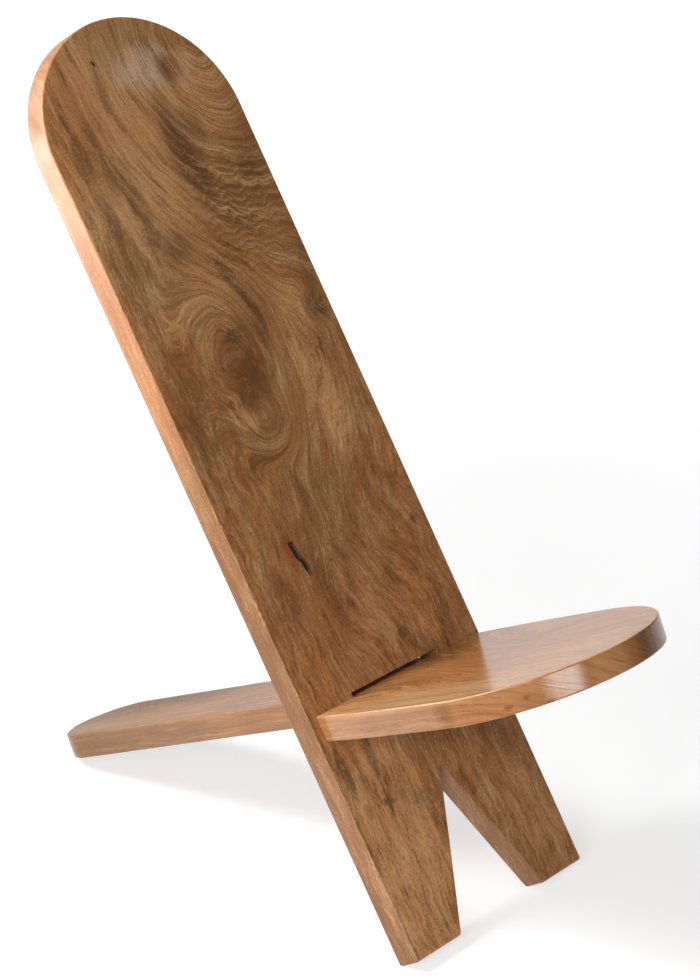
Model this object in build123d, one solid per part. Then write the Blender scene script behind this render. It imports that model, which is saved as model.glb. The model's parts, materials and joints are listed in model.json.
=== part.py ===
from build123d import *
import os
from math import cos, radians, sin, tan

# A knock-down chair of two planks. The backrest board leans back on two legs. The seat board's
# narrow tail passes through a slot in the backrest and runs down to the floor behind it.
# Millimetres and degrees. +Z is up, the seat faces -Y, and X runs across the chair.

# Both boards are sawn from one size of plank
PLANK_WIDTH = 300.0
PLANK_THICKNESS = 31.0

# Backrest board
BACK_STRAIGHT = 980.0        # from the foot to the spring of the rounded top
BACK_CROWN_RISE = 140.0      # height of the half-ellipse above its spring
BACK_LEAN = 32.0             # backwards from upright

# Notch that parts the foot into two legs
NOTCH_WIDTH = 149.0          # across the foot
NOTCH_HEIGHT = 182.0         # from the foot to the apex
NOTCH_FOOT_OFFSET = 2.5      # the notch is sawn by eye, a little off the centre line
NOTCH_APEX_OFFSET = 6.5
NOTCH_APEX_RADIUS = 2.0

# Slot for the tail, cut square through the backrest
SLOT_SIDE_PLAY = 10.5        # beside the tail, at each end of the slot
SEAT_LINE = 298.0            # from the foot to where the seat's top meets the front face

# Seat board, full width where its round nose begins
SEAT_SLOPE = 24.2            # the seat rises towards its front
SHOULDER_INSET = 11.5        # the sides draw in this much towards the backrest
NOSE_START = 212.0           # from the shoulders to the start of the nose
NOSE_LENGTH = 150.0
TAIL_WIDTH = 126.0

# Fits, edges and floor contact
FIT_GAP = 0.3                # left all round where the two boards meet
ARRIS_RADIUS = 2.0           # hand-rounded long edges
SLOT_ARRIS_RADIUS = 0.8
STANDING_FLAT = 5.0          # width of the worn facets that stand on the floor

# Worked out from the above
TILT = BACK_LEAN - SEAT_SLOPE                    # between the tail and the slot's square cut
PLANK_HALF = PLANK_WIDTH / 2
SHOULDER_HALF = PLANK_HALF - SHOULDER_INSET
TAIL_HALF = TAIL_WIDTH / 2
NOTCH_HALF = NOTCH_WIDTH / 2
SLOT_WIDTH = TAIL_WIDTH + 2 * SLOT_SIDE_PLAY
SLOT_RISE = PLANK_THICKNESS * tan(radians(TILT))  # the tail's climb through the slot's depth
SLOT_TOP = SEAT_LINE + max(SLOT_RISE, 0) + FIT_GAP
SLOT_BOTTOM = SEAT_LINE - PLANK_THICKNESS / cos(radians(TILT)) + min(SLOT_RISE, 0) - FIT_GAP


def facet_depth(angle):
    """How far the floor cuts into a square corner tilted by angle to leave a standing facet."""
    return STANDING_FLAT * sin(radians(angle)) * cos(radians(angle))


# Heights below are counted from the foot's front edge.
FLOOR = facet_depth(BACK_LEAN) - PLANK_THICKNESS * sin(radians(BACK_LEAN))
SEAT_LINE_HEIGHT = SEAT_LINE * cos(radians(BACK_LEAN))
TAIL_DROP = SEAT_LINE_HEIGHT - PLANK_THICKNESS * cos(radians(SEAT_SLOPE)) - FLOOR + facet_depth(SEAT_SLOPE)
TAIL_LENGTH = TAIL_DROP / sin(radians(SEAT_SLOPE))

# Front face of the backrest: origin at the foot, local y up the board, local z out of the face.
BACK_PLANE = Plane(
    origin=(0, 0, 0),
    x_dir=(1, 0, 0),
    z_dir=(0, -cos(radians(BACK_LEAN)), sin(radians(BACK_LEAN))),
)
# Top face of the seat: origin on the backrest's front face, local y down the tail.
SEAT_PLANE = Plane(
    origin=BACK_PLANE.from_local_coords((0, SEAT_LINE, 0)),
    x_dir=(1, 0, 0),
    z_dir=(0, sin(radians(SEAT_SLOPE)), cos(radians(SEAT_SLOPE))),
)
REACH = 2 * (BACK_STRAIGHT + BACK_CROWN_RISE + TAIL_LENGTH)  # larger than the whole chair


def floor_block():
    """Everything below the floor."""
    block = Box(REACH, REACH, REACH, align=(Align.CENTER, Align.CENTER, Align.MAX))
    return Pos(0, 0, FLOOR) * block


def backrest_outline():
    """Straight-sided board with a half-ellipse on top."""
    with BuildSketch() as sketch:
        with BuildLine():
            Polyline(
                (PLANK_HALF, BACK_STRAIGHT),
                (PLANK_HALF, 0),
                (-PLANK_HALF, 0),
                (-PLANK_HALF, BACK_STRAIGHT),
            )
            EllipticalCenterArc(
                center=(0, BACK_STRAIGHT),
                x_radius=PLANK_HALF,
                y_radius=BACK_CROWN_RISE,
                start_angle=0,
                arc_size=180,
            )
        make_face()
    return sketch.sketch


def notch_outline():
    """V between the legs, run past the foot so that it cuts clean through."""
    overrun = ARRIS_RADIUS / NOTCH_HEIGHT
    left = NOTCH_FOOT_OFFSET - NOTCH_HALF
    right = NOTCH_FOOT_OFFSET + NOTCH_HALF
    with BuildSketch() as sketch:
        with BuildLine():
            Polyline(
                (NOTCH_APEX_OFFSET, NOTCH_HEIGHT),
                (left + (left - NOTCH_APEX_OFFSET) * overrun, -ARRIS_RADIUS),
                (right + (right - NOTCH_APEX_OFFSET) * overrun, -ARRIS_RADIUS),
                close=True,
            )
        make_face()
        apex = sketch.vertices().sort_by(Axis.Y)[-1]
        fillet(apex, NOTCH_APEX_RADIUS)
    return sketch.sketch


def backrest():
    """The notched board with its arrises rounded, its slot cut and its feet worn flat."""
    board = extrude(backrest_outline() - notch_outline(), amount=-PLANK_THICKNESS)
    board = fillet(board.faces().sort_by(Axis.Z)[-1].edges(), ARRIS_RADIUS)
    board = fillet(board.faces().sort_by(Axis.Z)[0].edges(), ARRIS_RADIUS)
    slot = Rectangle(SLOT_WIDTH, SLOT_TOP - SLOT_BOTTOM, align=(Align.CENTER, Align.MIN))
    board -= Pos(0, SLOT_BOTTOM, 0) * extrude(slot, amount=-PLANK_THICKNESS)
    for end in (0, -1):
        rim = board.faces().sort_by(Axis.Z)[end].inner_wires()[0].edges()
        board = fillet(rim, SLOT_ARRIS_RADIUS)
    return BACK_PLANE * board - floor_block()


def seat_outline():
    """Sides that swell gently from the shoulders into a round nose. The nose points to -y."""
    overrun = PLANK_THICKNESS
    with BuildSketch() as sketch:
        with BuildLine():
            nose = EllipticalCenterArc(
                center=(0, -NOSE_START),
                x_radius=PLANK_HALF,
                y_radius=NOSE_LENGTH,
                start_angle=180,
                arc_size=180,
            )
            right = TangentArc(nose @ 1, (SHOULDER_HALF, 0), tangent=nose % 1)
            left = TangentArc(nose @ 0, (-SHOULDER_HALF, 0), tangent=(0, 1))
            Polyline(right @ 1, (SHOULDER_HALF, overrun), (-SHOULDER_HALF, overrun), left @ 1)
        make_face()
    return sketch.sketch


def tail_outline():
    """Parallel tail with a half-round end, rooted inside the seat."""
    root = NOSE_START / 2
    straight = TAIL_LENGTH - TAIL_HALF
    strip = Rectangle(TAIL_WIDTH, root + straight, align=(Align.CENTER, Align.MIN))
    return Pos(0, -root) * strip + Pos(0, straight) * Circle(TAIL_HALF)


def behind_the_shoulders():
    """Everything behind the backrest's front face, less the fitting gap."""
    block = Box(REACH, REACH, REACH, align=(Align.CENTER, Align.CENTER, Align.MAX))
    return BACK_PLANE * Pos(0, 0, FIT_GAP) * block


def seat():
    """Seat and tail from one plank. The shoulders are bevelled to lie flat on the backrest."""
    front = SEAT_PLANE * extrude(seat_outline(), amount=-PLANK_THICKNESS) - behind_the_shoulders()
    tail = SEAT_PLANE * extrude(tail_outline(), amount=-PLANK_THICKNESS)
    board = SEAT_PLANE.to_local_coords(front + tail)
    board = fillet(board.faces().sort_by(Axis.Z)[-1].edges(), ARRIS_RADIUS)
    board = fillet(board.faces().sort_by(Axis.Z)[0].edges(), ARRIS_RADIUS)
    return SEAT_PLANE * board - floor_block()


def main():
    pieces = {"backrest_board": backrest(), "seat_board": seat()}
    # The origin is on the floor, at the centre of the chair's footprint.
    box = Compound(list(pieces.values())).bounding_box()
    centre = Pos(-box.center().X, -box.center().Y, -FLOOR)
    os.makedirs("parts", exist_ok=True)
    for name, piece in pieces.items():
        placed = centre * piece
        placed.label = name
        export_step(placed, f"parts/{name}.step")


main()
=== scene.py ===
"""Low reclining chair of two interlocking hardwood planks, modelled and varnished around its frame.

Metres and radians unless a name says mm. +Z is up, the seat faces -Y, and X runs across the chair.
"""

import json
from math import asin, atan2, cos, pi, radians, sin, tan

import bmesh
import bpy
from bpy.props import FloatProperty, FloatVectorProperty, PointerProperty
from bpy.types import Operator, Panel, PropertyGroup
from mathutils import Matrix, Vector


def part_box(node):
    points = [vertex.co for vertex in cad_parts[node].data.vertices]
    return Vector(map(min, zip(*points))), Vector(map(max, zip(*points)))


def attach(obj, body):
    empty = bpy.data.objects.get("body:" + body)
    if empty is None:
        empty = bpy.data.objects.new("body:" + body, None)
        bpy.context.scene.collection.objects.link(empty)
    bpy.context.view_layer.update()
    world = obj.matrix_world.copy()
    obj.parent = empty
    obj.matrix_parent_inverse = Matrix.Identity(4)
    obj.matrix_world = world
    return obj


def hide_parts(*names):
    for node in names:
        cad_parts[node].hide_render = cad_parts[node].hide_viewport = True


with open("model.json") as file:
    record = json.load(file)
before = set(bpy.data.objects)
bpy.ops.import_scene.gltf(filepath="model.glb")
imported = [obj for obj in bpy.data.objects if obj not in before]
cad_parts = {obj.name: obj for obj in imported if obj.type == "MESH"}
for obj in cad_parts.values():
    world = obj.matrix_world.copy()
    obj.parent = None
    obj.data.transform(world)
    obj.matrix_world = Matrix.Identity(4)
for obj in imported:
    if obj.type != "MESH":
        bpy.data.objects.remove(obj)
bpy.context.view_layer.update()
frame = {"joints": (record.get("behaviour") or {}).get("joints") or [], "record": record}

bl_info = {
    "name": "Two-plank chair",
    "version": (1, 0, 0),
    "blender": (4, 5, 0),
    "location": "3D View > Sidebar > Chair",
    "description": "Models a knock-down chair of two varnished hardwood planks and sets its stage",
    "category": "Object",
}

MM = 0.001

# What the frame says of both planks
BACK_LOW, BACK_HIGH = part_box("backrest_board")
PLANK_WIDTH = BACK_HIGH.x - BACK_LOW.x
SEAT_WAY = Vector(frame["joints"][0]["axis"])                # the seat slides forwards and up along it
SEAT_SLOPE = atan2(SEAT_WAY.z, -SEAT_WAY.y)
FOOT_REST = Vector(frame["record"]["mounts"][0]["pos_m"])    # centre of a leg's worn facet


def linear(colour):
    """An sRGB hex colour as linear red, green and blue."""
    parts = [int(colour[i : i + 2], 16) / 255 for i in (1, 3, 5)]
    return tuple(c / 12.92 if c <= 0.04045 else ((c + 0.055) / 1.055) ** 2.4 for c in parts)


# ---------------------------------------------------------------- settings


def length(name, description, default):
    """A length that a user may change."""
    return FloatProperty(
        name=name, description=description, default=default, min=0.0, unit="LENGTH", subtype="DISTANCE"
    )


def share(name, description, default):
    """A strength from none to all that a user may change."""
    return FloatProperty(name=name, description=description, default=default, min=0.0, soft_max=1.0)


def watts(name, description, default):
    """A lamp's power that a user may change."""
    return FloatProperty(name=name, description=description, default=default, min=0.0, unit="POWER")


def colour(name, description, default):
    """A colour that a user may change, given as an sRGB hex value."""
    return FloatVectorProperty(
        name=name, description=description, default=linear(default), size=3, min=0, max=1, subtype="COLOR"
    )


class PlankSettings(PropertyGroup):
    """What both planks share."""

    thickness: length("Thickness", "Thickness of both planks", 0.031)
    arris: length("Arris", "Radius of the hand-rounded long edges", 0.002)
    worn_arris: length("Worn arris", "Radius of the edges that knocks and floors have worn", 0.0032)
    rim: length("Slot rim", "Radius of the slot's rim", 0.0008)
    gap: length("Gap", "Clearance where the planks meet", 0.0003)
    standing_flat: length("Standing flat", "Width of the worn facets on the floor", 0.005)
    ripple: length("Unevenness", "How far the planed faces wander in from flat", 0.00025)


class BackrestSettings(PropertyGroup):
    """The leaning board on two legs."""

    lean: FloatProperty(
        name="Lean", description="Backwards from upright", default=radians(32.0), subtype="ANGLE"
    )
    straight: length("Straight", "From the foot to the spring of the rounded top", 0.980)
    crown_rise: length("Crown rise", "Height of the half-ellipse above its spring", 0.140)
    notch_width: length("Notch width", "Across the foot, between the legs", 0.149)
    notch_height: length("Notch height", "From the foot to the apex", 0.182)
    notch_foot_shift: length("Notch shift", "Of the notch's foot, to the +X side", 0.0025)
    notch_apex_shift: length("Apex shift", "Of the notch's apex, to the +X side", 0.0065)
    slot_play: length("Slot play", "Beside the tail, at each end of the slot", 0.0105)
    seat_line: length("Seat line", "From the foot to where the seat's top meets the face", 0.298)


class SeatSettings(PropertyGroup):
    """The seat board and its tail."""

    shoulder_inset: length("Shoulder inset", "How far the sides draw in towards the backrest", 0.0115)
    nose_start: length("Nose start", "From the shoulders to the start of the nose", 0.212)
    nose_length: length("Nose length", "Length of the rounded nose", 0.150)
    tail_width: length("Tail width", "Width of the tail that passes through the backrest", 0.126)


class WoodSettings(PropertyGroup):
    """Colours of the varnished wood."""

    tan: colour("Tan", "Commonest tone of the backrest", "#AA7544")
    seat_tan: colour("Seat tan", "Commonest tone of the seat, which has more orange in it", "#B07445")
    warm: colour("Warm tan", "Clear wood with an orange cast", "#B67641")
    worn: colour("Worn", "Wood rubbed pale", "#C58E5A")
    pale: colour("Pale", "Lightest flames and growth lines", "#D29E6C")
    brown: colour("Brown", "Darker heartwood", "#7D4F27")
    grey: colour("Grey", "Wood stained by minerals", "#86643D")
    slate: colour("Slate", "The greyest mineral marks", "#6A4D30")
    red: colour("Red brown", "Streaks beside the heart", "#98532A")
    edge: colour("Edge", "Edges of the backrest, which are cleaner than its faces", "#895A32")
    # Painted highlight: the sheen of the lamp behind on the left, laid into the upper part of the
    # backrest's left edge
    edge_sheen: colour("Worn edge", "Edge of the backrest where hands have rubbed it pale", "#C98657")
    seat_edge: colour("Seat edge", "Edges of the seat and its tail", "#A06B40")
    # Painted sheen: a lamp's pale reflection in the varnish, laid into the colour at the crown and on the
    # seat's top left
    painted_sheen: colour("Sheen", "Varnish that wear has left dull and pale", "#CFB195")
    lightest: colour("Lightest", "Thin light streaks and fibres", "#E3B27D")
    darkest: colour("Darkest", "Thin dark streaks and pores", "#5F3C1A")
    bark: colour("Bark", "Ingrown bark and open cracks", "#2A1810")


class StageSettings(PropertyGroup):
    """Floor, lamps and camera."""

    floor_glow: share("Floor glow", "White that the floor shows whatever the light", 0.66)
    floor_shade: share("Floor shade", "How much of the light and shadow on it the floor shows", 0.45)
    air_light: share("Air", "Soft light of the room in front of the chair", 0.256)
    wall_light: share("Wall", "Soft light of the wall behind the chair", 0.064)
    air_shine: share("Air shine", "How bright the room is in the varnish", 0.08)
    wall_shine: share("Wall shine", "How bright the wall behind the chair is in the varnish", 0.72)
    paper_shine: share("Paper shine", "How bright the floor's paper is in the varnish", 0.90)
    key_power: watts("Key lamp", "Large lamp on the left, in front", 90.0)
    strip_power: watts("Front strip", "Low strip lamp in front", 24.0)
    rim_power: watts("Rim lamp", "Low lamp on the left, behind, that only shines in the varnish", 12.5)
    crown_power: watts("Crown lamp", "The same, behind the crown", 3.5)
    back_power: watts("Back lamp", "Large high lamp on the left, behind", 60.0)


class ChairSettings(PropertyGroup):
    """Everything that the panel shows."""

    plank: PointerProperty(type=PlankSettings)
    backrest: PointerProperty(type=BackrestSettings)
    seat: PointerProperty(type=SeatSettings)
    wood: PointerProperty(type=WoodSettings)
    stage: PointerProperty(type=StageSettings)


# ---------------------------------------------------------------- modelling helpers


TOUCH = 0.01 * MM            # points nearer than this are one point
CUT_TOLERANCE = 0.001 * MM
RULED_STEP = 15 * MM         # between the lines that let a planed face wander
PLANING_WAVE = 70 * MM       # length of the waver that a hand plane leaves
SHARP = radians(40)          # edges that turn more than this are arrises
SMOOTH = radians(30)         # edges that turn less than this are shaded smooth
ROUND_SIDES = 144            # of the whole ellipse that a rounded end is half of
ARRIS_SEGMENTS = 4
FLAT_HOLD = 80               # how firmly wide faces keep their shading flat beside an arris


def deselect():
    """Nothing is selected or active, and no piece is in edit mode."""
    if bpy.context.object and bpy.context.object.mode != "OBJECT":
        bpy.ops.object.mode_set(mode="OBJECT")
    bpy.ops.object.select_all(action="DESELECT")


def activate(piece):
    """The piece alone is selected and active."""
    deselect()
    piece.select_set(True)
    bpy.context.view_layer.objects.active = piece


def fresh(name):
    """Names the primitive that was just added and opens it for editing."""
    piece = bpy.context.object
    piece.name = name
    piece.data.name = name
    bpy.ops.object.mode_set(mode="EDIT")
    return piece


def pick(piece, kind, test):
    """Selects the elements of one kind, VERT, EDGE or FACE, that pass the test."""
    bpy.ops.mesh.select_mode(type=kind)
    bpy.ops.mesh.select_all(action="DESELECT")
    mesh = bmesh.from_edit_mesh(piece.data)
    for element in {"VERT": mesh.verts, "EDGE": mesh.edges, "FACE": mesh.faces}[kind]:
        if test(element):
            element.select_set(True)
    mesh.select_flush_mode()
    bmesh.update_edit_mesh(piece.data)


def middle(edge):
    """Midpoint of an edge."""
    return (edge.verts[0].co + edge.verts[1].co) / 2


def along_x(edge, y):
    """Whether an edge lies across the board at that height."""
    return all(abs(v.co.y - y) < TOUCH for v in edge.verts)


def modify(piece, kind, **values):
    """Adds a modifier, sets it and applies it."""
    activate(piece)
    modifier = piece.modifiers.new(kind.title(), kind)
    for name, value in values.items():
        setattr(modifier, name, value)
    bpy.ops.object.modifier_apply(modifier=modifier.name)


def block(name, low, high):
    """A box from one corner to the other, open for editing."""
    deselect()
    low, high = Vector(low), Vector(high)
    bpy.ops.mesh.primitive_cube_add(size=1.0, location=(low + high) / 2)
    piece = fresh(name)
    bpy.ops.transform.resize(value=high - low, center_override=(low + high) / 2)
    return piece


def rounded_end(name, spring, rise, way):
    """Half an ellipse as wide as the plank, from its spring line towards +y or -y, open for editing."""
    half = PLANK_WIDTH / 2
    centre = (0, spring, 0)
    deselect()
    bpy.ops.mesh.primitive_circle_add(vertices=ROUND_SIDES, radius=half, fill_type="NGON", location=centre)
    board = fresh(name)
    bpy.ops.transform.resize(value=(1, rise / half, 1), center_override=centre)
    bpy.ops.mesh.select_all(action="SELECT")
    bpy.ops.mesh.bisect(plane_co=centre, plane_no=(0, -way, 0), clear_outer=True)
    bpy.ops.object.mode_set(mode="OBJECT")
    bpy.ops.object.transform_apply(location=True)
    bpy.ops.object.mode_set(mode="EDIT")
    return board


def thicken(thickness):
    """Draws the flat outline that is open for editing down into a board."""
    bpy.ops.mesh.select_all(action="SELECT")
    bpy.ops.mesh.extrude_region_move(TRANSFORM_OT_translate={"value": (0, 0, -thickness)})
    bpy.ops.mesh.select_all(action="SELECT")
    bpy.ops.mesh.normals_make_consistent(inside=False)


def cut(point, normal, clear=True):
    """Bisects the whole mesh. With clear, what is in front of the plane goes and the cut is closed."""
    bpy.ops.mesh.select_all(action="SELECT")
    bpy.ops.mesh.bisect(
        plane_co=point, plane_no=normal, use_fill=clear, clear_outer=clear, threshold=CUT_TOLERANCE
    )


def carve(piece, cutter):
    """Takes the cutter out of the piece."""
    deselect()
    modify(piece, "BOOLEAN", operation="DIFFERENCE", solver="EXACT", object=cutter)
    bpy.data.objects.remove(cutter)


def rule(piece, axis, low, high, count):
    """Divides the faces along evenly spaced lines, so that they can wander a little from straight."""
    activate(piece)
    bpy.ops.object.mode_set(mode="EDIT")
    normal = Vector([float(i == axis) for i in range(3)])
    for i in range(1, count):
        cut(normal * (low + (high - low) * i / count), normal, clear=False)
    bpy.ops.object.mode_set(mode="OBJECT")


def rule_all(piece, step):
    """Rules the whole board both ways, with lines about a step apart."""
    corners = [Vector(c) for c in piece.bound_box]
    for axis in (0, 1):
        low = min(c[axis] for c in corners)
        high = max(c[axis] for c in corners)
        rule(piece, axis, low, high, round((high - low) / step))


def plane_by_hand(piece, amount):
    """Lets the faces wander inwards from flat, as a hand plane leaves them."""
    texture = bpy.data.textures.new("planing", "CLOUDS")
    texture.noise_scale = PLANING_WAVE
    modify(piece, "DISPLACE", texture=texture, strength=amount, mid_level=1.0, texture_coords="LOCAL")


def round_arrises(piece, widest, radius_at):
    """Rounds each arris by the radius that radius_at gives at its middle."""
    activate(piece)
    weights = piece.data.attributes.new("bevel_weight_edge", "FLOAT", "EDGE")
    mesh = bmesh.new()
    mesh.from_mesh(piece.data)
    mesh.edges.ensure_lookup_table()
    values = [0.0] * len(mesh.edges)
    for edge in mesh.edges:
        if len(edge.link_faces) == 2 and edge.calc_face_angle(0) > SHARP:
            values[edge.index] = min(1.0, radius_at(middle(edge)) / widest)
    mesh.free()
    weights.data.foreach_set("value", values)
    modify(
        piece,
        "BEVEL",
        limit_method="WEIGHT",
        offset_type="OFFSET",
        width=widest,
        segments=ARRIS_SEGMENTS,
        use_clamp_overlap=False,
    )


def stand(piece, turn, origin):
    """Turns a flat board about X, puts it in its place and wears its foot off on the floor."""
    activate(piece)
    piece.rotation_euler = (turn, 0, 0)
    piece.location = origin
    bpy.ops.object.transform_apply(location=True, rotation=True, scale=True)
    bpy.ops.object.mode_set(mode="EDIT")
    cut((0, 0, 0), (0, 0, -1))
    bpy.ops.mesh.select_all(action="SELECT")
    bpy.ops.mesh.remove_doubles(threshold=TOUCH)
    bpy.ops.mesh.fill_holes(sides=4)    # slivers at the rims of hollows may drop out above
    bpy.ops.mesh.normals_make_consistent(inside=False)
    bpy.ops.object.mode_set(mode="OBJECT")
    bpy.ops.object.shade_smooth_by_angle(angle=SMOOTH)
    modify(piece, "WEIGHTED_NORMAL", weight=FLAT_HOLD, keep_sharp=True)


# ---------------------------------------------------------------- places


def foot_edge(chair):
    """The feet's lower front edge as sawn, worked out from a worn facet's centre."""
    lean = chair.backrest.lean
    depth = chair.plank.standing_flat * sin(lean) * cos(lean)
    corner_y = FOOT_REST.y - depth * (tan(lean) - 1 / tan(lean)) / 2
    corner = Vector((0, corner_y, -depth))
    return corner + chair.plank.thickness * Vector((0, -cos(lean), sin(lean)))


def seat_root(chair):
    """Where the seat's top meets the backrest's front face, on the centre line."""
    lean = chair.backrest.lean
    return foot_edge(chair) + chair.backrest.seat_line * Vector((0, sin(lean), cos(lean)))


# ---------------------------------------------------------------- the backrest


WEAR_HEIGHT = 160 * MM       # the arrises soften from here down to the feet
WEAR_STEPS = 6
HOLLOW_SIDES = 12
HOLLOW_RINGS = 8


def backrest_blank(chair):
    """The board's outline with its rounded top, thickened. The foot is at y=0, the face at z=0."""
    size = chair.backrest
    board = rounded_end("backrest_plank", size.straight, size.crown_rise, 1)
    pick(board, "EDGE", lambda e: along_x(e, size.straight))
    bpy.ops.mesh.extrude_region_move(TRANSFORM_OT_translate={"value": (0, -size.straight, 0)})
    thicken(chair.plank.thickness)
    bpy.ops.object.mode_set(mode="OBJECT")
    return board


def notch_cutter(chair):
    """A wedge through the foot."""
    size = chair.backrest
    deep = 2 * chair.plank.thickness
    half = size.notch_width
    low = (-half, -size.notch_height, -deep)
    high = (half, size.notch_height * 2, deep)
    wedge = block("notch_cutter", low, high)
    apex = Vector((size.notch_apex_shift, size.notch_height, 0))
    for side in (-1, 1):
        foot = Vector((size.notch_foot_shift + side * size.notch_width / 2, 0, 0))
        run = (apex - foot).normalized()
        cut(apex, (side * run.y, -side * run.x, 0))
    bpy.ops.object.mode_set(mode="OBJECT")
    return wedge


def slot_cutter(chair):
    """A box through the board where the tail passes."""
    tilt = chair.backrest.lean - SEAT_SLOPE
    thickness = chair.plank.thickness
    rise = thickness * tan(tilt)
    top = chair.backrest.seat_line + max(rise, 0) + chair.plank.gap
    bottom = chair.backrest.seat_line - thickness / cos(tilt) + min(rise, 0) - chair.plank.gap
    half = chair.seat.tail_width / 2 + chair.backrest.slot_play
    cutter = block("slot_cutter", (-half, bottom, -2 * thickness), (half, top, thickness))
    bpy.ops.object.mode_set(mode="OBJECT")
    return cutter


def backrest_radius(chair):
    """How round each arris of the backrest is: crisp at the crown, soft at the feet, tight at the slot."""
    plank = chair.plank
    half_slot = chair.seat.tail_width / 2 + chair.backrest.slot_play
    seat_line = chair.backrest.seat_line

    def radius(place):
        if abs(place.x) < half_slot + MM and abs(place.y - seat_line) < 2 * plank.thickness:
            return plank.rim
        worn = max(0.0, 1 - place.y / WEAR_HEIGHT)
        return plank.arris + (plank.worn_arris - plank.arris) * worn * worn

    return radius


# Hollows of the backrest: place and half size as (across, up, into the face) in mm, turn in degrees
HOLLOWS = (
    ((-65.0, 483.5, 0), (4.6, 3.4, 5), -14),     # ingrown bark that fell out
    ((-62.5, 473.0, 0), (5.0, 13.5, 7), 14),
    ((-57.5, 456.0, 0), (3.9, 14.0, 6), 12),
    ((-38.0, 1073.0, 0), (1.2, 4.0, 3), 10),     # a short check
    ((-150.4, 418.0, 0.4), (2.2, 4.0, 2.2), 0),  # nicks in the arris
    ((-150.4, 428.0, 0.4), (2.0, 3.0, 2.0), 0),
    ((-150.4, 441.0, 0.4), (2.4, 5.0, 2.4), 0),
)


def hollow_cutter(place, reach, turn):
    """A lens-shaped hollow, pointed at both ends."""
    bpy.ops.mesh.primitive_uv_sphere_add(
        segments=HOLLOW_SIDES, ring_count=HOLLOW_RINGS, radius=1, rotation=(pi / 2, 0, 0)
    )
    cutter = bpy.context.object
    cutter.name = "hollow"
    bpy.ops.object.transform_apply(location=False, rotation=True, scale=False)
    cutter.scale = Vector(reach) * MM
    cutter.rotation_euler = (0, 0, radians(turn))
    cutter.location = Vector(place) * MM
    bpy.ops.object.transform_apply(location=True, rotation=True, scale=True)
    return cutter


class CHAIR_OT_backrest(Operator):
    """Models the backrest board with its legs, notch and slot"""

    bl_idname = "chair.backrest"
    bl_label = "Backrest"

    def execute(self, context):
        chair = context.scene.chair
        board = backrest_blank(chair)
        carve(board, notch_cutter(chair))
        rule(board, 1, 0, WEAR_HEIGHT, WEAR_STEPS)
        carve(board, slot_cutter(chair))
        round_arrises(board, chair.plank.worn_arris, backrest_radius(chair))
        for hollow in HOLLOWS:
            carve(board, hollow_cutter(*hollow))
        rule_all(board, RULED_STEP)
        plane_by_hand(board, chair.plank.ripple)
        stand(board, pi / 2 - chair.backrest.lean, foot_edge(chair))
        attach(board, "backrest")
        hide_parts("backrest_board")
        return {"FINISHED"}


# ---------------------------------------------------------------- the seat


SIDE_STEPS = 12
TAIL_STEPS = 24
TAIL_TIP = 1e-4              # share of the tail's width left at its very end, which is then welded
WELD = 0.05 * MM


def extrude_row(board, y, step, widen):
    """Draws the edge row at y out by a step towards +y and widens or narrows it."""
    pick(board, "EDGE", lambda e: along_x(e, y))
    bpy.ops.mesh.extrude_region_move(TRANSFORM_OT_translate={"value": (0, step, 0)})
    bpy.ops.transform.resize(value=(widen, 1, 1), center_override=(0, y + step, 0))
    return y + step


def side_half_width(chair, back):
    """Half the seat's width at that distance behind the nose's start. The sides are a shallow arc."""
    inset = chair.seat.shoulder_inset
    run = chair.seat.nose_start
    radius = (inset * inset + run * run) / (2 * inset)
    return PLANK_WIDTH / 2 - radius * (1 - cos(asin(back / radius)))


def tail_length(chair):
    """From the backrest's front face to the tail's end, which wears flat on the floor."""
    slope = SEAT_SLOPE
    facet = chair.plank.standing_flat * sin(slope) * cos(slope)
    drop = seat_root(chair).z - chair.plank.thickness * cos(slope) + facet
    return drop / sin(slope)


def seat_blank(chair):
    """The seat's outline with its tail, thickened. The tail points to +y, the top is at z=0."""
    size = chair.seat
    board = rounded_end("seat_plank", -size.nose_start, size.nose_length, -1)
    y = -size.nose_start
    step = size.nose_start / SIDE_STEPS
    for i in range(SIDE_STEPS):
        before = side_half_width(chair, i * step)
        after = side_half_width(chair, (i + 1) * step)
        y = extrude_row(board, y, step, after / before)
    tail_half = size.tail_width / 2
    for side in (-1, 1):
        cut((side * tail_half, 0, 0), (1, 0, 0), clear=False)
    straight = tail_length(chair) - tail_half
    pick(board, "EDGE", lambda e: along_x(e, y) and abs(middle(e).x) < tail_half)
    bpy.ops.mesh.extrude_region_move(TRANSFORM_OT_translate={"value": (0, straight, 0)})
    y = straight
    for i in range(TAIL_STEPS):
        now = radians(90) * i / TAIL_STEPS
        then = radians(90) * (i + 1) / TAIL_STEPS
        step = tail_half * (sin(then) - sin(now))
        y = extrude_row(board, y, step, max(cos(then), TAIL_TIP) / cos(now))
    bpy.ops.mesh.select_all(action="SELECT")
    bpy.ops.mesh.remove_doubles(threshold=WELD)
    thicken(chair.plank.thickness)
    bevel_shoulders(board, chair, tail_half)
    bpy.ops.object.mode_set(mode="OBJECT")
    return board


def bevel_shoulders(board, chair, tail_half):
    """Leans the shoulders' end faces so that they lie along the backrest, a gap away."""
    tilt = chair.backrest.lean - SEAT_SLOPE
    away = -chair.plank.gap / cos(tilt)
    for z in (0, -chair.plank.thickness):

        def on_shoulder(v):
            return abs(v.co.y) < TOUCH and abs(v.co.z - z) < TOUCH and abs(v.co.x) > tail_half - MM

        pick(board, "VERT", on_shoulder)
        bpy.ops.transform.translate(value=(0, away + z * tan(tilt), 0))


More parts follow.
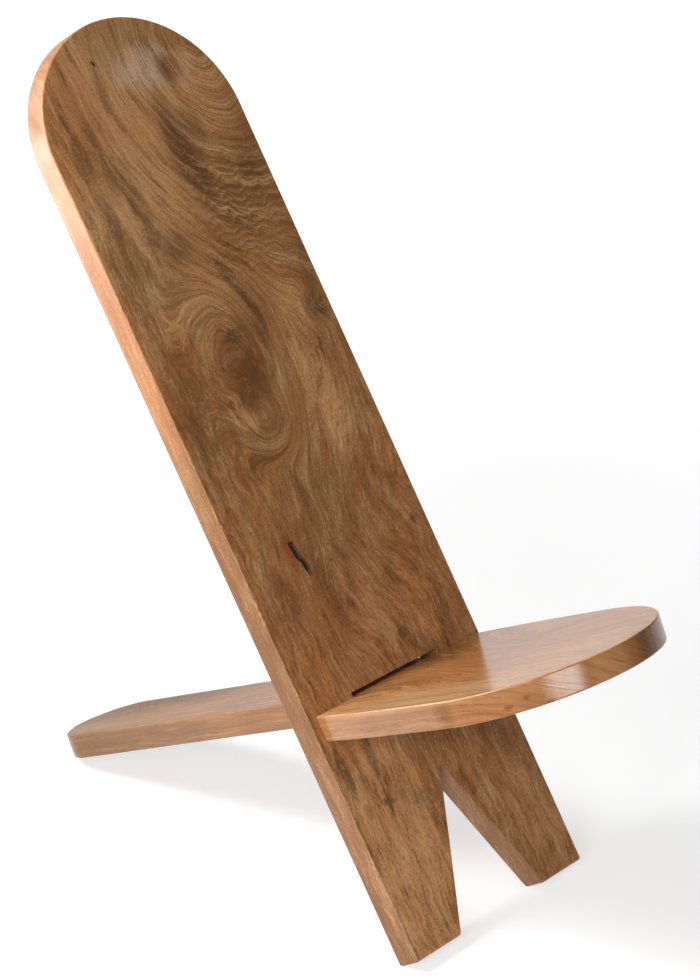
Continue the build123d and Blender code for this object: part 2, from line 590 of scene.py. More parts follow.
class CHAIR_OT_seat(Operator):
    """Models the seat board with its shoulders and tail"""

    bl_idname = "chair.seat"
    bl_label = "Seat"

    def execute(self, context):
        chair = context.scene.chair
        board = seat_blank(chair)
        round_arrises(board, chair.plank.worn_arris, lambda place: chair.plank.arris)
        rule_all(board, RULED_STEP)
        plane_by_hand(board, chair.plank.ripple)
        stand(board, -SEAT_SLOPE, seat_root(chair))
        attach(board, "seat")
        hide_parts("seat_board")
        return {"FINISHED"}


# ---------------------------------------------------------------- the finish


def add_node(tree, kind, inputs=None, **settings):
    """Adds a shader node and gives its outputs. An input takes a socket to link or a plain value."""
    node = tree.nodes.new(kind)
    for setting, value in settings.items():
        setattr(node, setting, value)
    for name, value in (inputs or {}).items():
        if isinstance(value, bpy.types.NodeSocket):
            tree.links.new(value, node.inputs[name])
        else:
            node.inputs[name].default_value = value
    return node.outputs


def hill(tree, place, centre, reach, turn, height):
    """A soft round hill of that height. It falls to nothing at its reach, in the place's own units."""
    mapped = {"Vector": place, "Location": centre, "Rotation": (0, 0, turn), "Scale": reach}
    local = add_node(tree, "ShaderNodeMapping", mapped, vector_type="TEXTURE")[0]
    ball = add_node(tree, "ShaderNodeTexGradient", {"Vector": local}, gradient_type="SPHERICAL")["Fac"]
    eased = {"Value": ball, "To Max": height}
    return add_node(tree, "ShaderNodeMapRange", eased, interpolation_type="SMOOTHSTEP")[0]


# The wood's features: width and length of their cells in mm, and how finely they break up
BANDS = (26, 240, 2.0)
STREAKS = (9, 80, 2.0)
FIBRES = (3.4, 24, 1.0)
PORES = (1.6, 8, 0.0)        # real ones are a fifth as wide
MOTTLE = (34, 70, 4.0)
FLECK_SIZE = 3
GRAIN_ROUGHNESS = 0.6        # how much finer noise rides on each of them


def grain_noise(tree, grain, feature, stretch=1.0):
    """Noise drawn out along the grain."""
    across, along, depth = grain
    wide, long, detail = feature
    long *= stretch
    parts = {
        "X": add_node(tree, "ShaderNodeMath", {0: across, 1: wide}, operation="DIVIDE")[0],
        "Y": add_node(tree, "ShaderNodeMath", {0: along, 1: long}, operation="DIVIDE")[0],
        "Z": add_node(
            tree, "ShaderNodeMath", {0: depth, 1: 1 / long, 2: wide}, operation="MULTIPLY_ADD"
        )[0],
    }
    vector = add_node(tree, "ShaderNodeCombineXYZ", parts)[0]
    pattern = {"Vector": vector, "Scale": 1.0, "Detail": detail, "Roughness": GRAIN_ROUGHNESS}
    return add_node(tree, "ShaderNodeTexNoise", pattern)["Fac"]


def weighed(tree, *parts):
    """Adds up noises by their weights, so that the sum wanders about zero."""
    total = -0.5 * sum(weight for _, weight in parts)
    for noise, weight in parts:
        summed = {0: noise, 1: weight, 2: total}
        total = add_node(tree, "ShaderNodeMath", summed, operation="MULTIPLY_ADD")[0]
    return total


def laid(tree, base, tone, value, low, high, strength):
    """The base with a tone laid over it as the value goes from low to high."""
    span = {"Value": value, "From Min": low, "From Max": high, "To Max": strength}
    cover = add_node(tree, "ShaderNodeMapRange", span)[0]
    layers = {0: cover, 6: base, 7: (*tone, 1)}
    return add_node(tree, "ShaderNodeMix", layers, data_type="RGBA")[2]


def board_place(tree, origin, turn):
    """Object coordinates as mm across, along and out of a board's face."""
    object_place = add_node(tree, "ShaderNodeTexCoord")["Object"]
    mapped = {"Vector": object_place, "Location": origin, "Rotation": (turn, 0, 0), "Scale": (MM, MM, MM)}
    return add_node(tree, "ShaderNodeMapping", mapped, vector_type="TEXTURE")[0]


def wandering(tree, place, size, amount):
    """The place, moved about by up to half the amount in patches of that size. Both in mm."""
    patches = {"Vector": place, "Scale": 1 / size, "Detail": 1.0}
    noise = add_node(tree, "ShaderNodeTexNoise", patches)["Color"]
    centred = {0: noise, 1: (0.5, 0.5, 0.5)}
    shift = add_node(tree, "ShaderNodeVectorMath", centred, operation="SUBTRACT")[0]
    moved = {0: shift, 1: (amount, amount, amount), 2: place}
    return add_node(tree, "ShaderNodeVectorMath", moved, operation="MULTIPLY_ADD")[0]


# How the grain swerves from straight. Every hill pushes the grain lines apart round it.
# Across and up from the board's origin, reach across and along, turn in degrees, height. Lengths in mm.
BACK_SWERVES = (
    (100, 1075, 260, 340, 0, 560),   # arcs that sweep round the upper right
    (-12, 705, 105, 160, 0, -140),   # closed loops round the heart
    (-15, 621, 58, 58, 0, -92),      # the eye below it
    (45, 470, 120, 150, -15, 44),    # nested tongues
    (105, 690, 60, 120, -8, -34),    # long flames on the right
    (-40, 385, 60, 120, 12, 30),
    (125, 722, 30, 36, 0, 28),       # a knot at the right edge
)
BACK_CURL = (75, 862, 120, 130)      # where the lines are wavy: across, up, reach across and along
CURL_LENGTH = 30                     # of a wave
CURL_DRIFT = 30                      # mm up the board that shift the wave by a radian
CURL_HEIGHT = 6
SEAT_SWERVES = (
    (60, -150, 120, 200, 0, 60),
    (-40, -60, 90, 160, 20, -40),
)
THROUGH = 400    # reach of a swerve into the plank, so that both faces show it
SLANT = 1.5      # how far the growth rings lean across the thickness


def grain_of(tree, place, swerves, curl):
    """Place in the grain: mm of growth across it, mm along it, and depth."""
    parts = add_node(tree, "ShaderNodeSeparateXYZ", {"Vector": place})
    leaning = {0: parts["Z"], 1: SLANT, 2: parts["X"]}
    across = add_node(tree, "ShaderNodeMath", leaning, operation="MULTIPLY_ADD")[0]
    for x, y, reach_x, reach_y, turn, height in swerves:
        swerve = hill(tree, place, (x, y, 0), (reach_x, reach_y, THROUGH), radians(turn), height)
        across = add_node(tree, "ShaderNodeMath", {0: across, 1: swerve}, operation="ADD")[0]
    if curl:
        x, y, reach_x, reach_y = curl
        height = hill(tree, place, (x, y, 0), (reach_x, reach_y, THROUGH), 0, CURL_HEIGHT)
        rising = {0: parts["Y"], 1: 1 / CURL_DRIFT}
        drift = add_node(tree, "ShaderNodeMath", rising, operation="MULTIPLY")[0]
        waves = {0: parts["X"], 1: 2 * pi / CURL_LENGTH, 2: drift}
        angle = add_node(tree, "ShaderNodeMath", waves, operation="MULTIPLY_ADD")[0]
        wave = add_node(tree, "ShaderNodeMath", {0: angle}, operation="SINE")[0]
        curled = {0: wave, 1: height, 2: across}
        across = add_node(tree, "ShaderNodeMath", curled, operation="MULTIPLY_ADD")[0]
    return across, parts["Y"], parts["Z"]


RIPPLE_GAP = 10.0      # mm from one terrace of the figure to the next
RIPPLE_ARCH = 0.6      # how many gaps an arch rises
RIPPLE_SWAY = 1.8      # how many gaps the mottle shifts them
RIPPLE_SHARE = 0.50


def rippled(tree, tone, place, mottle, curl):
    """Adds the terraces that curly grain shows across the board, each a row of shallow arches."""
    x, y, reach_x, reach_y = curl
    parts = add_node(tree, "ShaderNodeSeparateXYZ", {"Vector": place})
    height = hill(tree, place, (x, y, 0), (reach_x, reach_y, THROUGH), 0, RIPPLE_SHARE)
    waves = {0: parts["X"], 1: pi / CURL_LENGTH, 2: mottle}
    wave = add_node(tree, "ShaderNodeMath", waves, operation="MULTIPLY_ADD")[0]
    wave = add_node(tree, "ShaderNodeMath", {0: wave}, operation="SINE")[0]
    arch = add_node(tree, "ShaderNodeMath", {0: wave}, operation="ABSOLUTE")[0]
    arch = add_node(tree, "ShaderNodeMath", {0: arch, 1: RIPPLE_ARCH}, operation="MULTIPLY")[0]
    uneven = {0: mottle, 1: RIPPLE_SWAY, 2: arch}
    uneven = add_node(tree, "ShaderNodeMath", uneven, operation="MULTIPLY_ADD")[0]
    rows = {0: parts["Y"], 1: -1 / RIPPLE_GAP, 2: uneven}
    rows = add_node(tree, "ShaderNodeMath", rows, operation="MULTIPLY_ADD")[0]
    step = add_node(tree, "ShaderNodeMath", {0: rows}, operation="FRACT")[0]
    step = add_node(tree, "ShaderNodeMath", {0: step, 1: 0.5}, operation="SUBTRACT")[0]
    stepped = {0: step, 1: height, 2: tone}
    return add_node(tree, "ShaderNodeMath", stepped, operation="MULTIPLY_ADD")[0]


STAIN_DEPTH = 90     # mm that a stain reaches into the plank
CRISP_REACH = 30     # stains narrower than this have crisp edges, in mm
CRISP_SPAN = (0.30, 0.60)        # share of a spot's height at which it starts, and at which it is full
SOFT_SPAN = (0.10, 0.90)
MARK_SPAN = (0.05, 0.55)


def stained(tree, base, place, broken, fibrous, stains, wood):
    """Lays each stain over the base. The grain breaks up its edge, and that of a narrow one the most."""
    for x, y, reach_x, reach_y, turn, tone, strength in stains:
        crisp = min(reach_x, reach_y) < CRISP_REACH
        spot = hill(tree, place, (x, y, 0), (reach_x, reach_y, STAIN_DEPTH), radians(turn), 1.0)
        patchy = {0: spot, 1: fibrous if crisp else broken}
        spot = add_node(tree, "ShaderNodeMath", patchy, operation="MULTIPLY")[0]
        low, high = CRISP_SPAN if crisp else SOFT_SPAN
        base = laid(tree, base, getattr(wood, tone), spot, low, high, strength)
    return base


def marked(tree, base, place, marks, wood):
    """Lays each mark over the base. Marks go no deeper than their reach and have soft edges."""
    for centre, reach, turn, tone, strength in marks:
        spot = hill(tree, place, centre, reach, radians(turn), 1.0)
        base = laid(tree, base, getattr(wood, tone), spot, *MARK_SPAN, strength)
    return base


# Stains run into the plank: across, up, reach across and along, turn in degrees, tone, strength
BACK_STAINS = (
    # broad fields
    # makes the upper part of the board lighter
    (0, 1010, 260, 240, 0, "worn", 0.80),
    (-70, 1050, 120, 110, 0, "pale", 0.60),
    (-70, 910, 110, 120, 0, "pale", 0.55),
    (20, 900, 80, 90, 0, "worn", 0.30),
    (-120, 1030, 110, 150, 0, "warm", 0.80),
    (-100, 215, 80, 90, 0, "warm", 0.70),
    (-95, 185, 110, 120, 0, "worn", 1.0),
    (25, 1085, 120, 60, -10, "grey", 0.45),
    (10, 950, 70, 100, 10, "worn", 0.35),
    (80, 880, 110, 120, -10, "brown", 0.45),
    (-105, 830, 60, 70, 10, "grey", 0.45),
    (-40, 800, 90, 60, 10, "worn", 0.45),
    (-110, 650, 55, 150, 0, "brown", 0.60),
    (82, 660, 46, 170, -6, "worn", 0.95),
    (15, 500, 90, 120, -15, "grey", 0.40),
    (-50, 470, 50, 100, 0, "brown", 0.45),
    (-120, 320, 60, 160, 0, "warm", 0.45),
    (-5, 350, 60, 110, 0, "worn", 0.40),
    (-100, 90, 110, 210, 0, "worn", 1.0),
    (110, 80, 60, 130, 10, "worn", 0.45),
    (30, 235, 110, 60, 0, "brown", 0.35),
    (142, 900, 30, 200, 0, "brown", 0.55),
    # the heart and its eye
    (-12, 690, 58, 75, 0, "brown", 1.0),
    (-12, 708, 62, 74, 10, "darkest", 0.45),
    (-22, 722, 34, 36, 20, "red", 0.45),
    (6, 698, 18, 36, 10, "red", 0.60),
    (-13, 727, 18, 12, -20, "bark", 0.60),
    (-32, 656, 26, 30, -30, "brown", 0.85),
    (-15, 621, 36, 30, 0, "slate", 0.40),
    (-50, 640, 22, 44, 15, "pale", 0.45),
    (-45, 600, 24, 40, 10, "grey", 0.60),
    (20, 785, 16, 56, 18, "bark", 0.60),
    (30, 735, 15, 66, -2, "darkest", 0.70),
    # crown
    # painted sheen: a lamp's reflection in the varnish at the crown
    (38, 1052, 92, 44, -5, "painted_sheen", 0.75),
    (66, 1045, 30, 32, 0, "brown", 1.0),
    (95, 1052, 24, 24, 0, "pale", 0.55),
    (36, 940, 42, 110, 4, "brown", 1.0),
    (30, 955, 22, 90, 3, "darkest", 0.60),
    (44, 920, 24, 80, 0, "darkest", 0.60),
    (64, 968, 22, 50, 0, "darkest", 0.45),
    (118, 905, 26, 60, 0, "darkest", 0.60),
    (75, 872, 50, 60, 0, "brown", 0.60),
    (118, 890, 28, 34, 0, "brown", 1.0),
    (-45, 1045, 14, 50, 0, "brown", 0.40),
    # grey blocks
    (-113, 972, 18, 54, 0, "darkest", 0.60),
    (-88, 988, 17, 51, 0, "darkest", 0.60),
    (-80, 948, 19, 48, 0, "darkest", 0.60),
    (-64, 915, 21, 75, -8, "darkest", 0.60),
    (-112, 900, 18, 52, 0, "slate", 0.70),
    (-60, 872, 18, 40, -20, "slate", 0.70),
    (-40, 842, 36, 34, 0, "slate", 0.60),
    (-115, 1018, 9, 18, 0, "slate", 0.80),
    (-62, 800, 40, 30, 0, "grey", 0.60),
    # right side
    (127, 722, 28, 38, 0, "darkest", 0.70),
    (128, 716, 12, 16, 0, "bark", 0.45),
    (137, 765, 16, 70, -10, "darkest", 0.55),
    (100, 690, 26, 22, 0, "red", 0.45),
    (66, 705, 6, 10, 0, "bark", 0.45),
    (134, 530, 26, 70, 0, "warm", 0.70),
    (127, 450, 6, 10, 0, "bark", 0.60),
    # lower half
    (-90, 610, 14, 90, 0, "red", 0.35),
    (-75, 640, 10, 60, 0, "brown", 0.60),
    (-110, 420, 44, 60, 0, "brown", 0.70),
    (-38, 420, 24, 80, 0, "brown", 0.75),
    (-20, 545, 12, 50, 0, "slate", 0.60),
    (-69, 478, 18, 30, 10, "red", 0.90),
    (85, 365, 38, 100, 0, "warm", 1.0),
    (92, 425, 16, 40, 0, "warm", 1.0),
    (112, 340, 16, 60, -8, "brown", 0.60),
    (40, 335, 14, 10, 0, "slate", 0.80),
    (62, 312, 34, 16, -30, "brown", 0.80),
    # legs
    (-132, 225, 12, 50, 0, "slate", 0.90),
    (-85, 232, 9, 40, 0, "slate", 0.80),
    (-40, 160, 60, 16, -27, "grey", 0.50),
    (-90, 176, 22, 6, -20, "bark", 0.50),
    (-125, 178, 10, 16, 0, "slate", 0.60),
    (110, 190, 18, 80, 8, "slate", 0.50),
    (75, 150, 14, 80, 14, "warm", 0.50),
)
SEAT_STAINS = (
    # painted light and sheen on the seat's top left, where the back lamp reaches past the backrest
    (-130, -130, 100, 330, 0, "pale", 0.80),
    (-130, -170, 60, 200, 0, "painted_sheen", 0.45),
    (-40, -290, 140, 120, 0, "worn", 0.80),
    (-20, -90, 40, 200, 0, "warm", 0.60),
    (60, -60, 70, 200, 0, "brown", 0.45),
    # painted shadow of the backrest on the seat beside the slot
    (80, -10, 110, 70, 0, "brown", 0.80),
    (45, -35, 60, 55, 0, "darkest", 0.58),
    (-35, 520, 42, 170, 0, "worn", 0.70),
    (52, 330, 26, 230, 0, "slate", 0.45),
    # painted shade on the tail's far part, standing in for the shadowed floor that its varnish mirrors
    (48, 420, 32, 220, 4, "darkest", 0.50),
    (0, 560, 120, 260, 0, "grey", 0.52),
)
# Contrast of a plank's wood, then how much of it comes from bands, streaks, fibres, pores, mottle and
# flecks, then how far the grain wanders in mm, and how drawn out it is
BACK_HABIT = (1.0, (0.8, 0.8, 1.0, 0.7, 1.4, 0.6), (12, 3.0), 1.0)
SEAT_HABIT = (0.5, (0.9, 1.6, 1.5, 0.8, 0.5, 0.4), (7, 1.0), 2.6)

# Broad differences between one edge and the rest, some of them painted highlight and shade, as centre,
# reach, turn, tone and strength
BACK_FIELDS = (
    # painted highlight, the lamp's sheen on the upper left edge
    ((-150.0, 810.0, -15), (12, 290, 60), 0, "edge_sheen", 0.43),
    # painted shade, the lower left edge darker where less light reaches it
    ((-150.0, 200.0, -15), (12, 420, 60), 0, "brown", 0.47),
)
SEAT_FIELDS = (
    ((-148.0, -140.0, -16), (12, 125, 40), 0, "brown", 0.34),
    ((-146.5, -210.0, -16), (8, 22, 40), 0, "brown", 0.60),
    ((-141.0, -255.0, -16), (18, 62, 40), 0, "red", 0.25),
    ((-147.0, -100.0, -16), (12, 130, 40), 0, "red", 0.12),
    ((-82.0, -338.0, -16), (16, 14, 40), 0, "brown", 0.30),
    # painted shade where the nose turns away from the key lamp
    ((32.0, -358.0, -16), (36, 16, 50), 0, "brown", 0.70),
    # painted light on the front of the nose
    ((-36.0, -357.0, -16), (46, 17, 50), 0, "worn", 0.75),
    ((-63.0, 450.0, -18), (8, 330, 45), 0, "slate", 0.65),
    ((-63.0, 165.0, -16), (8, 90, 40), 0, "brown", 0.60),
)
# Small marks that go no deeper than their reach: centre and reach as (across, up, out of the face),
# turn in degrees, tone, strength
BACK_MARKS = (
    ((-70.0, 480.0, 0), (14, 17, 12), 10, "red", 0.75),
    ((-65.0, 484.0, -2), (7.2, 5.6, 14), -14, "bark", 0.9),
    ((-62.5, 473.0, -3), (7.6, 19, 18), 14, "bark", 1.0),
    ((-57.5, 456.0, -3), (6.6, 19, 18), 12, "bark", 1.0),
    ((-38.0, 1073.0, -1), (2.6, 6, 6), 10, "bark", 1.0),
    ((-19.0, 706.0, 0), (26, 32, 12), 15, "brown", 0.52),
    ((-14.0, 728.0, 0), (26, 10, 10), 10, "darkest", 0.35),
    ((-42.0, 716.0, 0), (15, 22, 10), 0, "red", 0.35),
    ((10.0, 703.0, 0), (9, 26, 10), 15, "red", 0.30),
    ((-33.0, 652.0, 0), (8, 22, 8), 12, "brown", 0.50),
    ((-45.0, 632.0, 0), (8, 24, 8), 20, "pale", 0.50),
    ((-150.0, 418.0, 0), (5, 7, 5), 0, "pale", 0.35),
    ((-150.0, 428.0, 0), (5, 6, 5), 0, "pale", 0.35),
    ((-150.0, 441.0, 0), (5, 8, 5), 0, "pale", 0.35),
)
SEAT_MARKS = (
    # painted light on the seat's top left
    ((-125.0, -125.0, 0), (75, 190, 10), 0, "pale", 0.42),
    ((-28.0, 430.0, 0), (50, 230, 9), 0, "worn", 0.50),
    ((-130.2, -286.5, -22), (9, 9, 5), 0, "red", 0.6),
    ((-131.5, -286.5, -22), (5, 5, 3), 0, "brown", 0.7),
    ((-117.9, -304.8, -17), (8, 8, 5), 0, "red", 0.5),
    ((-118.5, -304.8, -17), (4, 4, 3), 0, "brown", 0.6),
    ((-102.3, -321.7, -29), (7, 7, 4), 0, "darkest", 0.6),
    # painted highlight along the top arris of the seat's left side
    ((-148.0, -215.0, -1), (5, 45, 2.2), 0, "pale", 0.5),
)


WANDER_PATCHES = (60, 14)    # mm, the sizes of the patches in which the grain wanders
CAST_WEIGHTS = (1.0, 0.7)    # of mottle and bands
CAST_SPAN = 0.22             # how far the mottle wanders before the wood is grey or warm
CAST_COVER = 0.7
LIGHT_SPAN = 0.80            # how far the tone wanders before it is at its lightest
DARK_SPAN = -0.65            # and at its darkest
TONE_COVER = 0.9
EDGE_TURN = (0.9, 0.4)       # cosines between which a face becomes an edge
EDGE_COVER = 0.75
EDGE_CALM = 0.55             # the edges' share of the faces' contrast
PORE_SPAN = (0.14, 0.25)
PORE_COVER = 0.5
BROAD_BREAK = (2.2, 1.6, 1.2, 0.8)   # how streaks, fibres, mottle and flecks break up a broad stain
BROAD_FILL = 1.1
NARROW_BREAK = (1.8, 6.5, 3.0)       # the same for a narrow one, with streaks, fibres and pores
NARROW_FILL = 1.25
GRAIN_RELIEF = 0.05 * MM
RELIEF_WEIGHTS = (1.0, -0.8)         # fibres stand up, pores lie deep
VARNISH_IOR = 1.5
SATIN_ROUGHNESS = 0.38
GLOSS_ROUGHNESS = 0.20
FIBRE_DULL = 0.12            # how much the roughness varies with the fibres


def varnished_hardwood(name, wood, tones, habit, frame_place, figure, roughness):
    """Plain-sawn tropical hardwood, hand planed and wiped with clear varnish.

    Streaks run along the grain and swerve round the heart, pores are short dark dashes, and the film is
    thin enough for the grain to break its gloss.
    """
    swerves, curl, stains, fields, marks = figure
    base, edge_tone = tones
    contrast, weights, wander, stretch = habit
    origin, turn = frame_place
    face_normal = (0, -sin(turn), cos(turn))
    material = bpy.data.materials.new(name)
    material.use_nodes = True
    tree = material.node_tree
    tree.nodes.clear()

    true_place = board_place(tree, origin, turn)
    place = true_place
    for size, amount in zip(WANDER_PATCHES, wander):
        place = wandering(tree, place, size, amount)
    grain = grain_of(tree, place, swerves, curl)

    bands = grain_noise(tree, grain, BANDS, stretch)
    streaks = grain_noise(tree, grain, STREAKS, stretch)
    fibres = grain_noise(tree, grain, FIBRES, stretch)
    pores = grain_noise(tree, grain, PORES, stretch)
    mottle = grain_noise(tree, grain, MOTTLE)
    speckled = {"Vector": true_place, "Scale": 1 / FLECK_SIZE, "Detail": 1.0}
    flecks = add_node(tree, "ShaderNodeTexNoise", speckled)["Fac"]

    warmth = weighed(tree, *zip((mottle, bands), CAST_WEIGHTS))
    colours = laid(tree, (*base, 1), wood.grey, warmth, 0.0, CAST_SPAN, CAST_COVER)
    colours = laid(tree, colours, wood.warm, warmth, 0.0, -CAST_SPAN, CAST_COVER)
    broken = weighed(tree, *zip((streaks, fibres, mottle, flecks), BROAD_BREAK))
    broken = add_node(tree, "ShaderNodeMath", {0: broken, 1: BROAD_FILL}, operation="ADD")[0]
    fibrous = weighed(tree, *zip((streaks, fibres, pores), NARROW_BREAK))
    fibrous = add_node(tree, "ShaderNodeMath", {0: fibrous, 1: NARROW_FILL}, operation="ADD")[0]
    colours = stained(tree, colours, place, broken, fibrous, stains, wood)
    tone = weighed(tree, *zip((bands, streaks, fibres, pores, mottle, flecks), weights))
    if curl:
        tone = rippled(tree, tone, place, mottle, curl)
    facing = {0: add_node(tree, "ShaderNodeTexCoord")["Normal"], 1: face_normal}
    facing = add_node(tree, "ShaderNodeVectorMath", facing, operation="DOT_PRODUCT")["Value"]
    facing = add_node(tree, "ShaderNodeMath", {0: facing}, operation="ABSOLUTE")[0]
    rim = {"Value": facing, "From Min": EDGE_TURN[0], "From Max": EDGE_TURN[1]}
    rim = add_node(tree, "ShaderNodeMapRange", rim, interpolation_type="SMOOTHSTEP")[0]
    colours = laid(tree, colours, edge_tone, rim, 0.0, 1.0, EDGE_COVER)
    colours = marked(tree, colours, true_place, fields, wood)
    calm = {"Value": rim, "To Min": contrast, "To Max": contrast * EDGE_CALM}
    calm = add_node(tree, "ShaderNodeMapRange", calm)[0]
    tone = add_node(tree, "ShaderNodeMath", {0: tone, 1: calm}, operation="MULTIPLY")[0]
    colours = laid(tree, colours, wood.lightest, tone, 0.0, LIGHT_SPAN, TONE_COVER)
    colours = laid(tree, colours, wood.darkest, tone, 0.0, DARK_SPAN, TONE_COVER)
    pore = weighed(tree, (pores, 1.0))
    colours = laid(tree, colours, wood.darkest, pore, *PORE_SPAN, PORE_COVER)
    colours = marked(tree, colours, true_place, marks, wood)

    dull = {0: fibres, 1: FIBRE_DULL, 2: roughness - FIBRE_DULL / 2}
    dull = add_node(tree, "ShaderNodeMath", dull, operation="MULTIPLY_ADD")[0]
    relief = weighed(tree, *zip((fibres, pores), RELIEF_WEIGHTS))
    height = {"Height": relief, "Distance": GRAIN_RELIEF}
    bumped = add_node(tree, "ShaderNodeBump", height)[0]
    varnish = {"Base Color": colours, "Roughness": dull, "IOR": VARNISH_IOR, "Normal": bumped}
    surface = add_node(tree, "ShaderNodeBsdfPrincipled", varnish)[0]
    add_node(tree, "ShaderNodeOutputMaterial", {"Surface": surface})
    return material


class CHAIR_OT_finish(Operator):
    """Varnishes both planks"""

    bl_idname = "chair.finish"
    bl_label = "Varnish"

    def execute(self, context):
        chair = context.scene.chair
        wood = chair.wood
        finishes = {
            "backrest_plank": varnished_hardwood(
                "satin_varnished_hardwood",
                wood,
                (wood.tan, wood.edge),
                BACK_HABIT,
                (foot_edge(chair), pi / 2 - chair.backrest.lean),
                (BACK_SWERVES, BACK_CURL, BACK_STAINS, BACK_FIELDS, BACK_MARKS),
                SATIN_ROUGHNESS,
            ),
            "seat_plank": varnished_hardwood(
                "gloss_varnished_hardwood",
                wood,
                (wood.seat_tan, wood.seat_edge),
                SEAT_HABIT,
                (seat_root(chair), -SEAT_SLOPE),
                (SEAT_SWERVES, None, SEAT_STAINS, SEAT_FIELDS, SEAT_MARKS),
                GLOSS_ROUGHNESS,
            ),
        }
        for name, material in finishes.items():
            piece = bpy.data.objects[name]
            piece.data.materials.clear()
            piece.data.materials.append(material)
        return {"FINISHED"}


# ---------------------------------------------------------------- the stage


CAMERA_PLACE = Vector((-2.34722, -2.14036, 1.83255))
CAMERA_TURN = (radians(65.96907), radians(0.79534), radians(-48.92493))
CAMERA_LENS_MM = 111.2307
CAMERA_SHIFT = (-0.026368, 0.043681)

FLOOR_SIZE = 24.0
FLOOR_WHITE = 0.75               # how much light the paper gives back
FLOOR_SHINE = 0.12               # the same, in the varnish
PAPER_EDGE = (-0.62, 0.14)       # a point on the front left edge of the paper
PAPER_EDGE_TURN = radians(30)    # of that edge, from +Y towards +X
PAPER_EDGE_SOFT = 45 * MM        # half the width over which it fades in
WHITE_FADE = (0.7, 2.6)          # distances between which the floor's shading fades to white
WALL_SHINE_FADE = (-0.1, 0.4)    # how far behind, from -1 to 1, the varnish starts to show the wall
WALL_LIGHT_FADE = (-0.3, 0.3)    # the same for its light
AIM = Vector((0, 0, 0.45))       # what the lamps point at

# Where the floor shines more or less in the varnish: x, y, reach, change in brightness
FLOOR_POOLS = (
    (-0.45, 0.20, 0.60, 1.0),    # under the lamps on the left
    (0.50, 0.80, 1.10, -0.55),   # in the chair's own shadow
    (0.22, 0.56, 0.42, -0.36),   # under the end of the tail
    (9.0, -4.5, 9.0, -0.85),     # far off in front, where the room is dim
)


def from_side(azimuth, elevation, distance):
    """A place seen from the chair's middle. Azimuth 0 is in front of it, and +90 on its +X side."""
    a, e = radians(azimuth), radians(elevation)
    return AIM + distance * Vector((sin(a) * cos(e), -cos(a) * cos(e), sin(e)))


# Name, place, width, height, setting for the power, and whether it lights more than the varnish
LAMPS = (
    ("key_lamp", from_side(-64, 20, 4.0), 1.6, 1.6, "key_power", True),
    ("front_strip", from_side(-23, 12, 2.6), 1.15, 0.5, "strip_power", False),
    ("rim_lamp", Vector((-0.8, 1.07, 0.65)), 0.5, 0.5, "rim_power", False),
    ("crown_lamp", Vector((-0.35, 1.50, 1.12)), 0.5, 0.5, "crown_power", False),
    ("back_lamp", Vector((-1.3, 1.0, 1.95)), 0.8, 0.8, "back_power", True),
)


def softbox(name, place, width, height, power, lights):
    """A rectangular lamp that faces the chair."""
    data = bpy.data.lights.new(name, "AREA")
    data.shape = "RECTANGLE"
    data.size = width
    data.size_y = height
    data.energy = power
    lamp = bpy.data.objects.new(name, data)
    lamp.location = place
    lamp.rotation_euler = (AIM - lamp.location).to_track_quat("-Z", "Y").to_euler()
    lamp.visible_camera = False
    lamp.visible_diffuse = lights
    bpy.context.scene.collection.objects.link(lamp)


def floor_paper(settings):
    """Matt white paper. It looks white, keeps the chair's shadow, and shines in the varnish."""
    material = bpy.data.materials.new("matt_white_paper")
    material.use_nodes = True
    tree = material.node_tree
    tree.nodes.clear()
    place = add_node(tree, "ShaderNodeTexCoord")["Object"]
    mapped = {"Vector": place, "Location": (*PAPER_EDGE, 0), "Rotation": (0, 0, PAPER_EDGE_TURN)}
    turned = add_node(tree, "ShaderNodeMapping", mapped, vector_type="TEXTURE")[0]
    across = add_node(tree, "ShaderNodeSeparateXYZ", {"Vector": turned})["X"]
    edge = {"Value": across, "From Min": -PAPER_EDGE_SOFT, "From Max": PAPER_EDGE_SOFT}
    edge["To Max"] = settings.paper_shine
    on_paper = add_node(tree, "ShaderNodeMapRange", edge, interpolation_type="SMOOTHSTEP")[0]
    shine = on_paper
    for x, y, reach, change in FLOOR_POOLS:
        pool = hill(tree, place, (x, y, 0), (reach, reach, reach), 0, change)
        pooled = {0: pool, 1: on_paper, 2: shine}
        shine = add_node(tree, "ShaderNodeMath", pooled, operation="MULTIPLY_ADD")[0]
    rays = add_node(tree, "ShaderNodeLightPath")
    far_off = add_node(tree, "ShaderNodeVectorMath", {0: place}, operation="LENGTH")["Value"]
    fade = {"Value": far_off, "From Min": WHITE_FADE[0], "From Max": WHITE_FADE[1]}
    fade["To Min"] = settings.floor_glow
    white_glow = add_node(tree, "ShaderNodeMapRange", fade, interpolation_type="SMOOTHSTEP")[0]
    glow = rays["Is Transmission Ray"]
    for ray, level in (("Is Glossy Ray", shine), ("Is Camera Ray", white_glow)):
        seen = {0: rays[ray], 1: level, 2: glow}
        glow = add_node(tree, "ShaderNodeMath", seen, operation="MULTIPLY_ADD")[0]
    tone = FLOOR_WHITE
    for ray, level in (("Is Glossy Ray", FLOOR_SHINE), ("Is Camera Ray", settings.floor_shade)):
        tone = add_node(tree, "ShaderNodeMix", {0: rays[ray], 2: tone, 3: level}, data_type="FLOAT")[0]
    matt = add_node(tree, "ShaderNodeBsdfDiffuse", {"Color": tone})[0]
    white = add_node(tree, "ShaderNodeEmission", {"Strength": glow})[0]
    both = add_node(tree, "ShaderNodeAddShader", {0: matt, 1: white})[0]
    add_node(tree, "ShaderNodeOutputMaterial", {"Surface": both})
    return material


